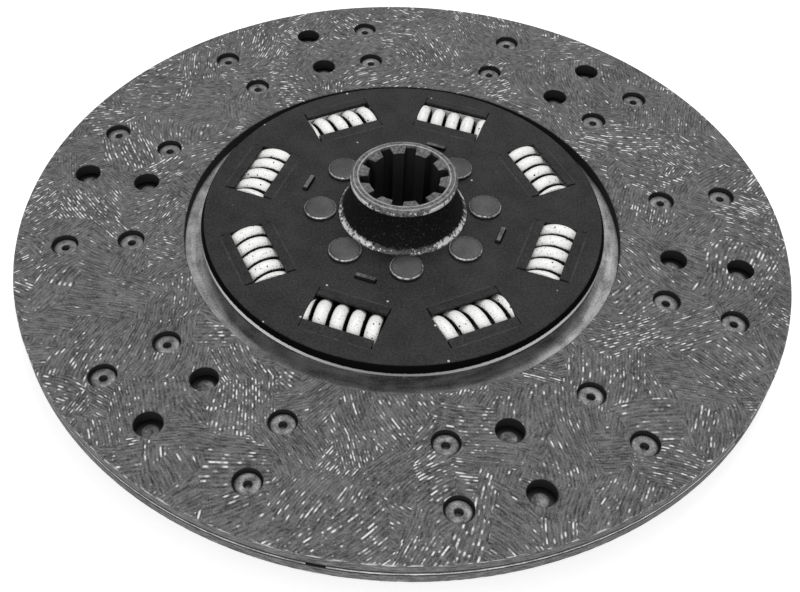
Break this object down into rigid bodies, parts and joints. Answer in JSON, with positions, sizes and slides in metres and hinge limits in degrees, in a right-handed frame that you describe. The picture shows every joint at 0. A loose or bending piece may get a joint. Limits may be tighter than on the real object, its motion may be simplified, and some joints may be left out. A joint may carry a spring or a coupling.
{
  "type": "clutch disc",
  "caption": "Round clutch disc with a splined centre hub, black cover plates over coil damper springs, and drilled friction facings riveted round the rim.",
  "frame": {"origin": "on the disc's axis at the lower end of the hub, which is what it rests on", "axes": "+Z along the shaft axis towards the hub's long end; +X and +Y in the plane of the disc"},
  "size_m": [0.35, 0.35, 0.05],
  "materials": {
    "friction_facing": "matt woven and moulded friction composite",
    "blacked_cover": "satin black phosphated sheet steel",
    "forged_hub": "dark forged steel with bright worn edges",
    "cover_rivet_steel": "dull grey steel rivet heads",
    "cushion_steel": "bare rolled spring steel, slightly mottled",
    "inner_steel": "plain oiled steel",
    "painted_spring": "white paint with small chips",
    "facing_rivet_metal": "dull light tubular rivets",
    "liner_composite": "plain pressed friction composite"
  },
  "bodies": {
    "hub_unit": {"hub": "forged_hub", "cover_plate_top": "blacked_cover", "cover_plate_bottom": "blacked_cover", "cover_rivets": "cover_rivet_steel", "friction_ring_top": "liner_composite", "friction_ring_bottom": "liner_composite", "pressure_ring": "inner_steel", "disc_spring": "inner_steel", "damper_spring_1": "painted_spring", "damper_spring_2": "painted_spring", "damper_spring_3": "painted_spring", "damper_spring_4": "painted_spring", "damper_spring_5": "painted_spring", "damper_spring_6": "painted_spring", "damper_spring_7": "painted_spring", "damper_spring_8": "painted_spring"},
    "friction_disc": {"driven_plate": "inner_steel", "cushion_disc": "cushion_steel", "cushion_rivets": "inner_steel", "facing_top": "friction_facing", "facing_bottom": "friction_facing", "facing_rivets_top": "facing_rivet_metal", "facing_rivets_bottom": "facing_rivet_metal"}
  },
  "joints": [
    {"name": "damper_twist", "type": "hinge", "parent": "hub_unit", "child": "friction_disc", "pos_m": [0, 0, 0.0164], "axis": [0, 0, 1], "range_deg": [-4, 4], "stiffness_Nm_per_rad": 2000, "deforming": ["damper_spring_1", "damper_spring_2", "damper_spring_3", "damper_spring_4", "damper_spring_5", "damper_spring_6", "damper_spring_7", "damper_spring_8"]}
  ]
}
